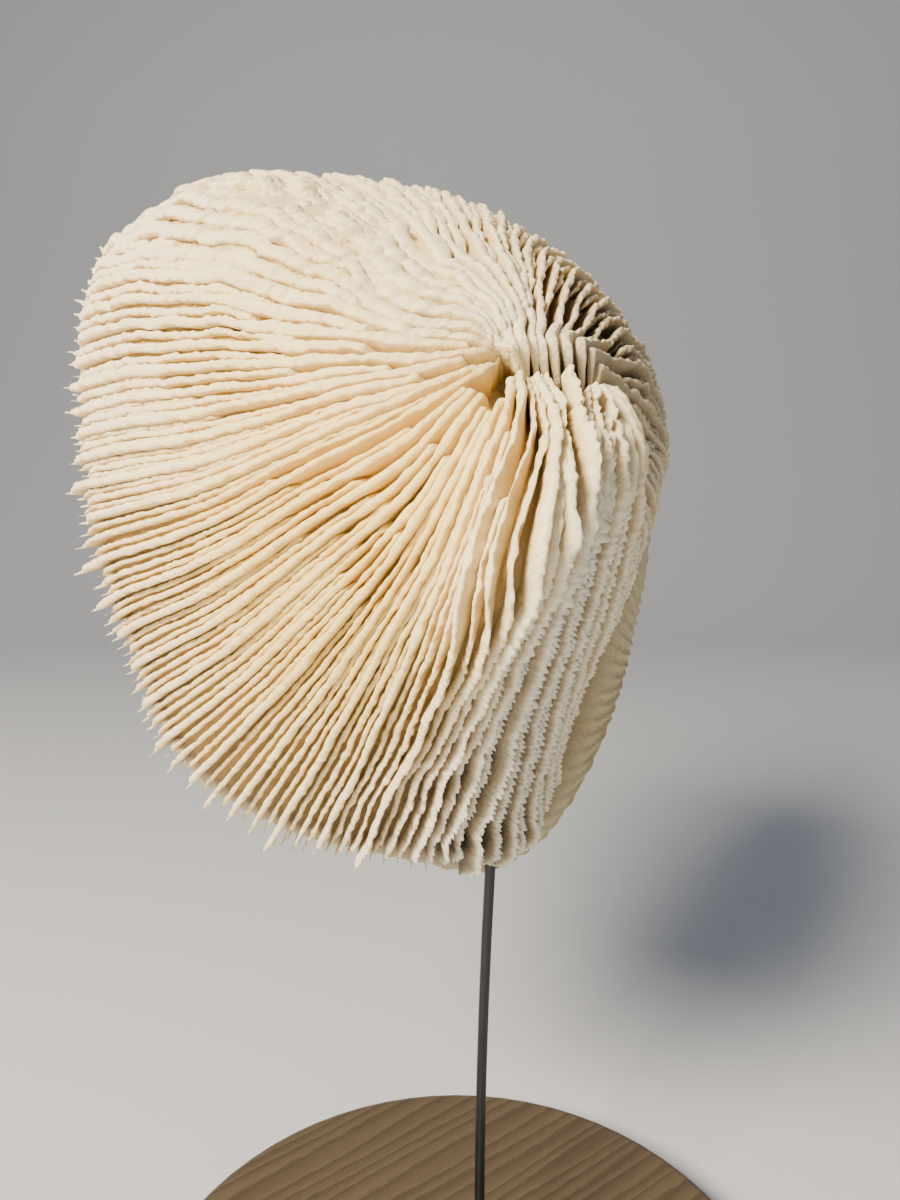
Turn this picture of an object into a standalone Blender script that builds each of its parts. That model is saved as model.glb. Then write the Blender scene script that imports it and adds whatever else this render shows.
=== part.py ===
"""Mushroom coral on a rod stand.

Three pieces: the arched coral with its radiating ridges, a thin bent steel rod and a round
wooden base.  Lengths below are millimetres, the scene is in metres, +Z is up, and the side of
the coral that carries the mouth looks along -Y.
"""
import math

import bpy
import numpy as np

MM = 0.001
GAP = 0.3

# Wooden base: a turned disc with a blind bore for the rod.
BASE_RADIUS = 100.0
BASE_THICKNESS = 18.0
BASE_EDGE = 2.5
BASE_BORE_DEPTH = 12.0

# Steel rod: upright over the base, bent a little to the right before it enters the coral.
ROD_DIAMETER = 3.0
ROD_FOOT_X = 6.3
ROD_BEND_FROM = 50.0
ROD_BEND_TO = 160.0
ROD_BEND_RATE = 0.00022
ROD_TOP = 190.0

# Coral ridges: one for each radiating plate, tall and low in turn, and crowded towards the
# upper left.  Heights are off the smooth body, reaches are past its rim.  They are crowded by
# CROWDING and stand farthest apart at guide rib SPARSEST_RIB.  Round guide rib LOW_RIB, to
# LOW_SPAN ribs on either side, they lose the share LOW_LOSS of their height near the rim.
RIDGES = 136
TALL_CREST = 8.0
LOW_CREST = 5.8
VALLEY_HEIGHT = 2.2
CREST_PER_SPACING = 3.2
CREST_REACH = 6.0
VALLEY_REACH = 2.0
CROWDING = 0.24
SPARSEST_RIB = 8.5
LOW_RIB = 12.6
LOW_SPAN = 2.4
LOW_LOSS = 0.8

# Slit mouth and hollow underside.
SLIT_FLOOR = (24.0, -22.0, 281.0)
MOUTH_AXIS = (-0.25, -0.60, 0.76)
UNDER_CENTRE = (4.0, -10.0, 268.0)
UNDER_AXIS = (0.47, -0.77, 0.44)

# Guide ribs of the coral, going once round the mouth: left, down, right, up and back to left.
# Each runs slit, lip, shoulder, flank, brim, rim, under the rim, hollow of the underside.
GUIDE = np.array([
    [(7.5, -38.5, 290.5), (1, -46, 288), (-14, -48, 284), (-32, -42, 279),
     (-65, -20, 271), (-98, 5, 266), (-98, 20, 258), (-44, -15, 264)],
    [(7.5, -39.5, 289.5), (1, -49, 285), (-14, -53, 277), (-32, -46, 270),
     (-63, -24, 258), (-95, 1, 247), (-94, 17, 238), (-43, -17, 254)],
    [(8, -40.5, 288.5), (2, -52, 281.5), (-12, -56, 270), (-29, -48, 259),
     (-58, -24, 241), (-87.5, -1, 225), (-86, 15, 216), (-40, -18, 242)],
    [(9, -41, 287.5), (4, -54.5, 278.5), (-8, -58, 263), (-24, -50, 245),
     (-50, -26, 219), (-76, -3, 196), (-75, 15, 189), (-34, -18, 230)],
    [(10, -41, 287), (6.5, -57, 276), (-4, -60, 258), (-17, -52, 239),
     (-37, -30, 210), (-57, -5, 180), (-55, 14, 176), (-24, -14, 222)],
    [(11.5, -40, 287), (9, -59.5, 274.5), (1, -63, 254), (-10, -54, 234),
     (-25, -32, 205), (-41, -6.5, 173.5), (-40, 14, 169), (-14, -8, 216)],
    [(13.5, -38.5, 287.5), (12, -61.5, 274), (6, -68, 252), (-3.5, -57, 230.5),
     (-15, -35, 203.5), (-28, -8.5, 171), (-26, 15, 166), (-7, -4, 213)],
    [(16, -36.5, 288), (15, -61.5, 274.5), (10, -71, 254), (1.5, -59, 232),
     (-7, -38, 205), (-17.5, -10, 169.5), (-14, 16, 163), (0, 0, 212)],
    [(19, -33, 289), (18, -58, 275.5), (13.5, -70, 257), (6, -60, 235.5),
     (-1, -39, 207), (-8.5, -10, 168), (-3, 16, 161), (6, 2, 212)],
    [(24, -31, 290), (21.5, -54, 276.5), (17.5, -66, 260), (10.5, -57, 238.5),
     (4.5, -37, 208.5), (-0.5, -9, 166.5), (12, 16, 160), (7, 4, 214)],
    [(29, -29, 289), (25.5, -48, 277.5), (21.5, -59, 263), (15.5, -50, 239.5),
     (10, -31, 209), (7.5, -5, 166), (17.5, 18, 163), (9, 7, 217)],
    [(32, -28, 288), (29.5, -41, 278.5), (27, -49, 266.5), (22, -40, 242),
     (16.5, -22, 210), (15.5, 0, 167.5), (27.5, 20.5, 171), (12, 10, 224)],
    [(34.5, -26, 287.5), (33.5, -33, 279.5), (33, -36, 269), (29.5, -27, 245),
     (24, -10, 213), (25, 8, 175), (39, 27, 186), (16, 14, 233)],
    [(35.5, -24, 288), (38, -25, 281.5), (39, -20, 270.5), (39, -9, 252),
     (34.5, 8, 228), (36.5, 20.5, 200), (50, 37, 205), (20, 18, 243)],
    [(34.5, -22.5, 290), (38.5, -16, 284.5), (43, -3, 280.5), (48.5, 13, 273.5),
     (52, 29, 264.5), (55.5, 40, 249), (58, 53.5, 232), (24, 23, 254)],
    [(32.5, -22.5, 292), (37.5, -10, 290.5), (44, 8, 292), (51, 28, 288),
     (58, 48, 283), (64, 62, 275.5), (61, 73, 262), (28, 28, 264)],
    [(29, -24, 295), (32, -10, 297), (36.5, 10, 304.5), (45, 33, 306),
     (53, 57, 303), (60, 76, 298), (55, 85, 285), (30, 33, 276)],
    [(23, -27, 296), (23.5, -14, 303), (26, 6, 314.5), (32.5, 32, 320.5),
     (40, 60, 322.5), (46, 83, 321), (42, 91, 308), (26, 36, 288)],
    [(17, -30, 296), (15, -18, 305), (12.5, 2, 320.5), (14, 30, 333),
     (17.5, 60, 340.5), (20, 85, 342), (14, 93, 329), (13, 38, 302)],
    [(13.5, -33, 296.5), (10, -21, 307), (2, -4, 322.5), (-5, 26, 340),
     (-12, 56, 352), (-19, 84, 355), (-21, 92, 344), (-6, 34, 308)],
    [(11, -35, 295.5), (5, -26, 305.5), (-7, -14, 318), (-22, 12, 336),
     (-42, 42, 352), (-60, 70, 360), (-62, 79, 349), (-24, 26, 311)],
    [(9.5, -36, 294.5), (1.5, -32, 302), (-12, -24, 312), (-30, -4, 328),
     (-60, 21, 347), (-88, 47, 351), (-90, 58, 340), (-38, 12, 303)],
    [(8.5, -36.5, 293), (0.5, -38, 297), (-15, -34, 303), (-35, -20, 315),
     (-70, 3, 329), (-104, 29, 330), (-104, 42, 319), (-44, 0, 292)],
    [(8, -37.5, 291.5), (0, -42, 292), (-15, -42, 294), (-35, -32, 297),
     (-70, -8, 301), (-104, 17, 298.5), (-104, 31, 289), (-46, -8, 278)],
], dtype=float)


def closed_spline(points, at):
    """Smooth loop through evenly numbered points: slopes solve d0 + 4 d1 + d2 = 3 (p2 - p0)."""
    count = len(points)
    index = np.arange(count)
    matrix = 4.0 * np.eye(count)
    matrix[index, (index + 1) % count] += 1.0
    matrix[index, (index - 1) % count] += 1.0
    rise = 3.0 * (np.roll(points, -1, axis=0) - np.roll(points, 1, axis=0))
    slope = np.linalg.solve(matrix, rise.reshape(count, -1)).reshape(points.shape)
    first = np.floor(at).astype(int)
    return blend(points, slope, first % count, (first + 1) % count, at - first)


def open_spline(points, at, last_slope):
    """Smooth line through evenly numbered points, free at its start, held at its end."""
    count = len(points)
    index = np.arange(count)
    matrix = 4.0 * np.eye(count)
    matrix[0, 0] = 2.0
    matrix[index[:-1], index[1:]] = 1.0
    matrix[index[1:], index[:-1]] = 1.0
    matrix[-1, -2:] = (0.0, 1.0)
    rise = np.concatenate([3.0 * (points[1:2] - points[:1]),
                           3.0 * (points[2:] - points[:-2]), last_slope[None]])
    slope = np.linalg.solve(matrix, rise.reshape(count, -1)).reshape(points.shape)
    first = np.clip(np.floor(at).astype(int), 0, count - 2)
    return blend(points, slope, first, first + 1, at - first)


def blend(points, slope, a, b, part):
    """Cubic between two points from their places and slopes."""
    t = part.reshape((-1,) + (1,) * (points.ndim - 1))
    near = points[a] * (2 * t**3 - 3 * t**2 + 1) + slope[a] * (t**3 - 2 * t**2 + t)
    far = points[b] * (3 * t**2 - 2 * t**3) + slope[b] * (t**3 - t**2)
    return near + far


def body(theta, ring):
    """Points of the smooth body, one row per theta (in ribs) and one column per ring.

    The ribs of the underside meet square to UNDER_AXIS, so the middle is round and not a cone.
    """
    centre = np.broadcast_to(np.array(UNDER_CENTRE), (len(GUIDE), 1, 3))
    net = np.concatenate([GUIDE, centre], axis=1)
    loops = np.swapaxes(closed_spline(net, theta), 0, 1)
    axis = unit(np.array(UNDER_AXIS))
    inward = loops[-1] - loops[-2]
    inward = 1.3 * (inward - (inward @ axis)[:, None] * axis)
    return np.swapaxes(open_spline(loops, ring, inward), 0, 1)


def unit(vectors):
    """Vectors scaled to length one."""
    return vectors / np.maximum(np.linalg.norm(vectors, axis=-1, keepdims=True), 1e-9)


def spread_columns(count):
    """Places round the mouth, spaced along the brim by 1 / (1 - CROWDING cos(angle)).

    The angle runs once round from the rib where the plates stand farthest apart.
    """
    fine = np.linspace(0.0, len(GUIDE), 2401)
    brim = body(fine, np.array([4.0]))[:, 0]
    angle = 2.0 * math.pi * (fine[1:] - SPARSEST_RIB) / len(GUIDE)
    steps = np.linalg.norm(np.diff(brim, axis=0), axis=1) * (1.0 - CROWDING * np.cos(angle))
    run = np.concatenate([[0.0], np.cumsum(steps)])
    return np.interp(np.arange(count) * run[-1] / count, run, fine)


def rod_slope(z):
    """Lean of the rod: none, then growing evenly with height, then steady."""
    bent = np.clip(z, ROD_BEND_FROM, ROD_BEND_TO) - ROD_BEND_FROM
    return 2.0 * ROD_BEND_RATE * bent


def rod_x(z):
    """Sideways place of the rod: straight, then a shallow parabola, then straight again."""
    bent = np.clip(z, ROD_BEND_FROM, ROD_BEND_TO) - ROD_BEND_FROM
    above = np.maximum(z - ROD_BEND_TO, 0.0)
    return ROD_FOOT_X + ROD_BEND_RATE * bent**2 + rod_slope(z) * above


def piece(name, points, faces, colour, roughness, metallic):
    """New mesh object from millimetre points, with a material of its own."""
    mesh = bpy.data.meshes.new(name)
    mesh.from_pydata((np.asarray(points) * MM).tolist(), [], faces)
    obj = bpy.data.objects.new(name, mesh)
    bpy.context.collection.objects.link(obj)
    dress(obj, colour, roughness, metallic)
    return obj


def dress(obj, colour, roughness, metallic):
    """Give an object its own plain surface."""
    material = bpy.data.materials.new(obj.name)
    material.use_nodes = True
    surface = material.node_tree.nodes["Principled BSDF"]
    surface.inputs["Base Color"].default_value = (*colour, 1.0)
    surface.inputs["Roughness"].default_value = roughness
    surface.inputs["Metallic"].default_value = metallic
    obj.data.materials.clear()
    obj.data.materials.append(material)


def bore(target, name, radius, foot, head):
    """Cut a round hole from foot to head (millimetre points) out of the target."""
    foot = np.array(foot)
    head = np.array(head)
    way = head - foot
    length = float(np.linalg.norm(way))
    bpy.ops.mesh.primitive_cylinder_add(
        vertices=24, radius=radius * MM, depth=length * MM,
        location=tuple((foot + head) / 2 * MM),
        rotation=(0.0, math.atan2(way[0], way[2]), 0.0))
    cutter = bpy.context.active_object
    cutter.name = name
    cutter.hide_render = True
    cutter.display_type = "WIRE"
    cut = target.modifiers.new(name, "BOOLEAN")
    cut.operation = "DIFFERENCE"
    cut.solver = "EXACT"
    cut.object = cutter


def strip_faces(columns, rows):
    """Quads of a grid that closes on itself from the last column to the first."""
    here = np.arange(columns)[:, None] * rows + np.arange(rows - 1)[None, :]
    there = (np.arange(1, columns + 1) % columns)[:, None] * rows + np.arange(rows - 1)[None, :]
    return np.stack([here, here + 1, there + 1, there], axis=-1).reshape(-1, 4)


for leftover in list(bpy.data.objects):
    bpy.data.objects.remove(leftover, do_unlink=True)

# Base: a turned disc standing on the table, its edge eased top and bottom.
bpy.ops.mesh.primitive_cylinder_add(
    vertices=64, radius=BASE_RADIUS * MM, depth=BASE_THICKNESS * MM,
    location=(0.0, 0.0, BASE_THICKNESS / 2 * MM))
base = bpy.context.active_object
base.name = "base"
dress(base, (0.46, 0.33, 0.19), 0.55, 0.0)
ease = base.modifiers.new("eased_edge", "BEVEL")
ease.width = BASE_EDGE * MM
ease.segments = 2
ease.limit_method = "ANGLE"
ease.angle_limit = math.radians(40.0)
bore_floor = BASE_THICKNESS - BASE_BORE_DEPTH
bore_mouth = BASE_THICKNESS + 5.0
bore(base, "base_bore", ROD_DIAMETER / 2 + GAP,
     (ROD_FOOT_X, 0.0, bore_floor), (ROD_FOOT_X, 0.0, bore_mouth))

# Rod: a round bar swept up its shallow bend, closed by flat ends square to its axis.
ROD_SIDES = 12
heights = np.array([bore_floor + GAP, ROD_BEND_FROM, 72, 94, 116, 138, ROD_BEND_TO, ROD_TOP])
around = np.arange(ROD_SIDES) * 2.0 * math.pi / ROD_SIDES
side = np.cos(around)[:, None] * ROD_DIAMETER / 2
deep = np.sin(around)[:, None] * ROD_DIAMETER / 2
tube = np.stack([
    rod_x(heights)[None, :] + side,
    np.repeat(deep, len(heights), axis=1),
    heights[None, :] - side * rod_slope(heights)[None, :],
], axis=-1)
tube_faces = strip_faces(ROD_SIDES, len(heights))[:, ::-1].tolist()
foot_ring = [k * len(heights) for k in range(ROD_SIDES)]
tube_faces.append(foot_ring[::-1])
tube_faces.append([k + len(heights) - 1 for k in foot_ring])
rod = piece("rod", tube.reshape(-1, 3), tube_faces, (0.23, 0.23, 0.24), 0.35, 1.0)

# Coral: one closed skin over the guide ribs, thrown into ridges on the side of the mouth.
# Rings 0 to 5 are that side, 6 is under the rim and 8 is the middle of the underside.
columns = 2 * RIDGES
theta = spread_columns(columns)
rings = np.array([0, 0.5, 1, 1.5, 2, 2.6, 3.2, 3.8, 4.3, 4.7, 5, 5.4, 6, 6.6, 7.2, 7.7])
smooth = body(theta, rings)
step = 0.02
across = body(theta + step, rings) - body(theta - step, rings)
along = unit(body(theta, rings + step) - body(theta, np.maximum(rings - step, 0.0)))
outward = unit(np.cross(along, across))

# Near the slit the ridges rise along the mouth's axis, farther out along the body's own.
upright = np.clip(0.8 - rings / 2.2, 0.0, 1.0)[None, :, None]
outward = unit(outward * (1.0 - upright) + unit(np.array(MOUTH_AXIS)) * upright)
place = np.arange(columns)
crest = place % 2 == 0
height = np.where(crest, np.where(place % 4 == 0, TALL_CREST, LOW_CREST), VALLEY_HEIGHT)
rise = np.interp(rings, [0, 0.5, 1.2, 3.6, 4.5, 5, 5.4, 5.8], [0.15, 0.6, 1, 1, 0.9, 0.65, 0.35, 0])

# On the lower right they sink towards the rim, as a bell over the ribs times a ramp of rings.
away = (theta - LOW_RIB + len(GUIDE) / 2) % len(GUIDE) - len(GUIDE) / 2
low_side = np.exp(-(away / LOW_SPAN) ** 2)
near_rim = np.interp(rings, [3.6, 4.6], [0.0, 1.0])
kept = 1.0 - LOW_LOSS * low_side[:, None] * near_rim[None, :]
spacing = np.linalg.norm(np.roll(smooth, -1, axis=0) - np.roll(smooth, 1, axis=0), axis=-1)
stand = np.minimum(height[:, None] * rise[None, :] * kept, CREST_PER_SPACING * spacing)
reach = np.where(crest, CREST_REACH, VALLEY_REACH)
reach = reach[:, None] * np.interp(rings, [3.9, 4.95, 5.4], [0.0, 1.0, 0.0])[None, :] * kept
skin = smooth + outward * stand[..., None] + along * reach[..., None]

rows = len(rings)
points = np.concatenate([skin.reshape(-1, 3), [SLIT_FLOOR], [UNDER_CENTRE]])
slit_floor = columns * rows
under_centre = slit_floor + 1
faces = strip_faces(columns, rows).tolist()
for k in range(columns):
    following = (k + 1) % columns
    faces.append([slit_floor, k * rows, following * rows])
    faces.append([under_centre, following * rows + rows - 1, k * rows + rows - 1])
coral = piece("coral", points, faces, (0.80, 0.74, 0.62), 0.75, 0.0)

# The coral's bore follows the straight top of the rod, from clear below its lowest edge.
bore_entry = ROD_BEND_TO - 20.0
bore_end = ROD_TOP + GAP
top_slope = float(rod_slope(ROD_BEND_TO))
bend_top = float(rod_x(ROD_BEND_TO))
bore(coral, "coral_bore", ROD_DIAMETER / 2 + GAP,
     (bend_top - top_slope * (ROD_BEND_TO - bore_entry), 0.0, bore_entry),
     (bend_top + top_slope * (bore_end - ROD_BEND_TO), 0.0, bore_end))

for shown in (base, rod, coral):
    shown.data.shade_smooth()
    shown.data.set_sharp_from_angle(angle=math.radians(35.0))
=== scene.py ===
"""Mushroom coral on its stand: wooden base, steel rod, and the coral with its thin radiating plates.

The order follows the stand from the table up.  Meshes are worked out in millimetres and scaled
to metres as they are stored; the side of the coral that carries the mouth looks along -Y.
"""

import math
from types import SimpleNamespace

import bpy
import numpy as np
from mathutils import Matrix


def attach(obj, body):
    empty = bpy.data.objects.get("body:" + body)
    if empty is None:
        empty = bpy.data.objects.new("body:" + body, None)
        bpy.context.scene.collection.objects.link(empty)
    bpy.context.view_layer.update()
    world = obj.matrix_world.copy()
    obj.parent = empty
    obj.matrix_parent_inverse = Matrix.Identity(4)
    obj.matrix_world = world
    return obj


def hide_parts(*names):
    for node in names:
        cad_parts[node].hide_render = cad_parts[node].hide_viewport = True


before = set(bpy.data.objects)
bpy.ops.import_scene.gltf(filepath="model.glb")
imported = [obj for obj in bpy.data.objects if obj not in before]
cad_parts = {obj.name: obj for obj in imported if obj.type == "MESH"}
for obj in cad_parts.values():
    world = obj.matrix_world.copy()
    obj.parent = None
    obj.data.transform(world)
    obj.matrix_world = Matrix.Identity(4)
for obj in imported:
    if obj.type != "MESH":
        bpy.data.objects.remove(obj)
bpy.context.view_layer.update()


# Wooden base: a turned disc of plain-sawn ash, sanded and oiled, lying flat on the table.
# The solid's shape is right, so only its wood is made here.  The oil leaves a low sheen and
# darkens the early wood into stripes, which run on down the edge.

def linear(code):
    """sRGB hex to linear colour: ((c + 0.055) / 1.055) ** 2.4 above 0.04045, else c / 12.92."""
    channel = np.array([int(code[i:i + 2], 16) for i in (1, 3, 5)]) / 255.0
    bright = ((channel + 0.055) / 1.055) ** 2.4
    return (*np.where(channel > 0.04045, bright, channel / 12.92).tolist(), 1.0)


def add_node(tree, kind, settings=None, links=None):
    """Add one node: settings go to its inputs by name or place, or to its own properties."""
    node = tree.nodes.new(kind)
    for key, value in (settings or {}).items():
        if isinstance(key, int) or key in node.inputs:
            node.inputs[key].default_value = value
        else:
            setattr(node, key, value)
    for key, source in (links or {}).items():
        tree.links.new(source, node.inputs[key])
    return node


def colour_ramp(ramp_node, stops):
    """Put hex colours at places from 0 to 1 on a ramp."""
    elements = ramp_node.color_ramp.elements
    while len(elements) < len(stops):
        elements.new(0.5)
    for element, (place, code) in zip(elements, stops):
        element.position = place
        element.color = linear(code)


# The grain runs across the disc at this turn, with rings 5.5 mm apart and fibres 0.6 mm wide.
# Every pattern is drawn out along it, and the rings wander by up to 22 mm over about 45 mm.  A
# wave texture of scale 1 has a ring every pi / 10 metres.
GRAIN_TURN = math.radians(52.0)
RING_SPACING = 0.0055
FIBRE_WIDTH = 0.0006
ALONG_GRAIN = 0.08
WANDER = 0.022
WANDERS_PER_METRE = 22.0
FIBRE_SHARE = 0.45
oiled_ash = bpy.data.materials.new("oiled_ash")
oiled_ash.use_nodes = True
tree = oiled_ash.node_tree
surface = tree.nodes["Principled BSDF"]
surface.inputs["Roughness"].default_value = 0.5
surface.inputs["IOR"].default_value = 1.5
place = add_node(tree, "ShaderNodeTexCoord")
turned = add_node(tree, "ShaderNodeMapping", {"Rotation": (0.0, 0.0, GRAIN_TURN)},
                  {"Vector": place.outputs["Object"]})
stretched = add_node(tree, "ShaderNodeMapping", {"Scale": (1.0, ALONG_GRAIN, 1.0)},
                     {"Vector": turned.outputs["Vector"]})
drift = add_node(tree, "ShaderNodeTexNoise", {"Scale": WANDERS_PER_METRE, "Detail": 2.0},
                 {"Vector": stretched.outputs["Vector"]})
drifted = add_node(tree, "ShaderNodeVectorMath", {"operation": "MULTIPLY_ADD",
                                                  1: (WANDER, 0.0, 0.0)},
                   {0: drift.outputs["Color"], 2: stretched.outputs["Vector"]})
growth = add_node(tree, "ShaderNodeTexWave",
                  {"Scale": 2.0 * math.pi / (20.0 * RING_SPACING), "Distortion": 5.0,
                   "Detail": 2.0, "Detail Scale": 2.0, "wave_profile": "SAW"},
                  {"Vector": drifted.outputs["Vector"]})
fibre = add_node(tree, "ShaderNodeTexNoise", {"Scale": 1.0 / FIBRE_WIDTH, "Detail": 3.0},
                 {"Vector": stretched.outputs["Vector"]})
grain = add_node(tree, "ShaderNodeMath", {"operation": "MULTIPLY_ADD", 1: FIBRE_SHARE},
                 {0: fibre.outputs["Fac"], 2: growth.outputs["Fac"]})
shade = add_node(tree, "ShaderNodeValToRGB", links={0: grain.outputs["Value"]})
colour_ramp(shade, [(0.0, "#4A3D2C"), (0.5, "#564936"), (0.9, "#5E513C"), (1.0, "#4C3F2E")])
tree.links.new(shade.outputs["Color"], surface.inputs["Base Color"])
relief = add_node(tree, "ShaderNodeBump", {"Strength": 0.25, "Distance": 0.0002},
                  {"Height": fibre.outputs["Fac"]})
tree.links.new(relief.outputs["Normal"], surface.inputs["Normal"])
base = bpy.data.objects["base"]
base.data.materials.clear()
base.data.materials.append(oiled_ash)


# Steel rod: 3 mm drawn mild steel wire, bent by hand and left bare.  It stands in a bore in
# the base and carries the coral on its upper end.  Drawing leaves fine lines along its length,
# and handling has dulled it to a dark grey.

DRAW_LINE = 0.0002
ALONG_WIRE = 0.02
drawn_steel = bpy.data.materials.new("drawn_steel")
drawn_steel.use_nodes = True
tree = drawn_steel.node_tree
surface = tree.nodes["Principled BSDF"]
surface.inputs["Metallic"].default_value = 1.0
place = add_node(tree, "ShaderNodeTexCoord")
pulled = add_node(tree, "ShaderNodeMapping", {"Scale": (1.0, 1.0, ALONG_WIRE)},
                  {"Vector": place.outputs["Object"]})
lines = add_node(tree, "ShaderNodeTexNoise", {"Scale": 1.0 / DRAW_LINE, "Detail": 2.0},
                 {"Vector": pulled.outputs["Vector"]})
dull = add_node(tree, "ShaderNodeMapRange", {"To Min": 0.30, "To Max": 0.48},
                {"Value": lines.outputs["Fac"]})
tint = add_node(tree, "ShaderNodeValToRGB", links={0: lines.outputs["Fac"]})
colour_ramp(tint, [(0.3, "#37383A"), (0.7, "#47484A")])
tree.links.new(dull.outputs["Result"], surface.inputs["Roughness"])
tree.links.new(tint.outputs["Color"], surface.inputs["Base Color"])
rod = bpy.data.objects["rod"]
rod.data.materials.clear()
rod.data.materials.append(drawn_steel)


# Coral body: the arched floor of the skeleton, from the slit mouth over the rim to the hollow
# underside.  It is porous aragonite, chalky and cream, tan where the plates shade it.  The
# underside carries low ribs that run on from the plates.

MM = 0.001

# Guide ribs in millimetres, once round the mouth: left, down, right, up and back to left.
# Each runs slit, lip, shoulder, flank, brim, rim, under the rim, hollow of the underside.
GUIDE = np.array([
    [(7.5, -38.5, 290.5), (1, -46, 288), (-14, -48, 284), (-32, -42, 279),
     (-65, -20, 271), (-98, 5, 266), (-98, 20, 258), (-44, -15, 264)],
    [(7.5, -39.5, 289.5), (1, -49, 285), (-14, -53, 277), (-32, -46, 270),
     (-63, -24, 258), (-95, 1, 247), (-94, 17, 238), (-43, -17, 254)],
    [(8, -40.5, 288.5), (2, -52, 281.5), (-12, -56, 270), (-29, -48, 259),
     (-58, -24, 241), (-87.5, -1, 225), (-86, 15, 216), (-40, -18, 242)],
    [(9, -41, 287.5), (4, -54.5, 278.5), (-8, -58, 263), (-24, -50, 245),
     (-50, -26, 219), (-76, -3, 196), (-75, 15, 189), (-34, -18, 230)],
    [(10, -41, 287), (6.5, -57, 276), (-4, -60, 258), (-17, -52, 239),
     (-37, -30, 210), (-57, -5, 180), (-55, 14, 176), (-24, -14, 222)],
    [(11.5, -40, 287), (9, -59.5, 274.5), (1, -63, 254), (-10, -54, 234),
     (-25, -32, 205), (-41, -6.5, 173.5), (-40, 14, 169), (-14, -8, 216)],
    [(13.5, -38.5, 287.5), (12, -61.5, 274), (6, -68, 252), (-3.5, -57, 230.5),
     (-15, -35, 203.5), (-28, -8.5, 171), (-26, 15, 166), (-7, -4, 213)],
    [(16, -36.5, 288), (15, -61.5, 274.5), (10, -71, 254), (1.5, -59, 232),
     (-7, -38, 205), (-17.5, -10, 169.5), (-14, 16, 163), (0, 0, 212)],
    [(19, -33, 289), (18, -58, 275.5), (13.5, -70, 257), (6, -60, 235.5),
     (-1, -39, 207), (-8.5, -10, 168), (-3, 16, 161), (6, 2, 212)],
    [(24, -31, 290), (21.5, -54, 276.5), (17.5, -66, 260), (10.5, -57, 238.5),
     (4.5, -37, 208.5), (-0.5, -9, 166.5), (12, 16, 160), (7, 4, 214)],
    [(29, -29, 289), (25.5, -48, 277.5), (21.5, -59, 263), (15.5, -50, 239.5),
     (10, -31, 209), (7.5, -5, 166), (17.5, 18, 163), (9, 7, 217)],
    [(32, -28, 288), (29.5, -41, 278.5), (27, -49, 266.5), (22, -40, 242),
     (16.5, -22, 210), (15.5, 0, 167.5), (27.5, 20.5, 171), (12, 10, 224)],
    [(34.5, -26, 287.5), (33.5, -33, 279.5), (33, -36, 269), (29.5, -27, 245),
     (24, -10, 213), (25, 8, 175), (39, 27, 186), (16, 14, 233)],
    [(35.5, -24, 288), (38, -25, 281.5), (39, -20, 270.5), (39, -9, 252),
     (34.5, 8, 228), (36.5, 20.5, 200), (50, 37, 205), (20, 18, 243)],
    [(34.5, -22.5, 290), (38.5, -16, 284.5), (43, -3, 280.5), (48.5, 13, 273.5),
     (52, 29, 264.5), (55.5, 40, 249), (58, 53.5, 232), (24, 23, 254)],
    [(32.5, -22.5, 292), (37.5, -10, 290.5), (44, 8, 292), (51, 28, 288),
     (58, 48, 283), (64, 62, 275.5), (61, 73, 262), (28, 28, 264)],
    [(29, -24, 295), (32, -10, 297), (36.5, 10, 304.5), (45, 33, 306),
     (53, 57, 303), (60, 76, 298), (55, 85, 285), (30, 33, 276)],
    [(23, -27, 296), (23.5, -14, 303), (26, 6, 314.5), (32.5, 32, 320.5),
     (40, 60, 322.5), (46, 83, 321), (42, 91, 308), (26, 36, 288)],
    [(17, -30, 296), (15, -18, 305), (12.5, 2, 320.5), (14, 30, 333),
     (17.5, 60, 340.5), (20, 85, 342), (14, 93, 329), (13, 38, 302)],
    [(13.5, -33, 296.5), (10, -21, 307), (2, -4, 322.5), (-5, 26, 340),
     (-12, 56, 352), (-19, 84, 355), (-21, 92, 344), (-6, 34, 308)],
    [(11, -35, 295.5), (5, -26, 305.5), (-7, -14, 318), (-22, 12, 336),
     (-42, 42, 352), (-60, 70, 360), (-62, 79, 349), (-24, 26, 311)],
    [(9.5, -36, 294.5), (1.5, -32, 302), (-12, -24, 312), (-30, -4, 328),
     (-60, 21, 347), (-88, 47, 351), (-90, 58, 340), (-38, 12, 303)],
    [(8.5, -36.5, 293), (0.5, -38, 297), (-15, -34, 303), (-35, -20, 315),
     (-70, 3, 329), (-104, 29, 330), (-104, 42, 319), (-44, 0, 292)],
    [(8, -37.5, 291.5), (0, -42, 292), (-15, -42, 294), (-35, -32, 297),
     (-70, -8, 301), (-104, 17, 298.5), (-104, 31, 289), (-46, -8, 278)],
], dtype=float)
RIBS = len(GUIDE)
LAST_RING = 8.0

# The mouth looks along its axis, and its slit closes at one point of its floor.  The ribs of
# the underside meet at its centre, square to its axis; a slope of 1.3 times their last step
# keeps the middle round.
MOUTH_AXIS = np.array([-0.25, -0.60, 0.76])
SLIT_FLOOR = np.array([24.0, -22.0, 281.0])
UNDER_CENTRE = np.array([4.0, -10.0, 268.0])
UNDER_AXIS = np.array([0.47, -0.77, 0.44])
UNDER_ROUNDING = 1.3


def unit(vectors):
    """Vectors divided by their own length."""
    return vectors / np.maximum(np.linalg.norm(vectors, axis=-1, keepdims=True), 1e-9)


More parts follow.
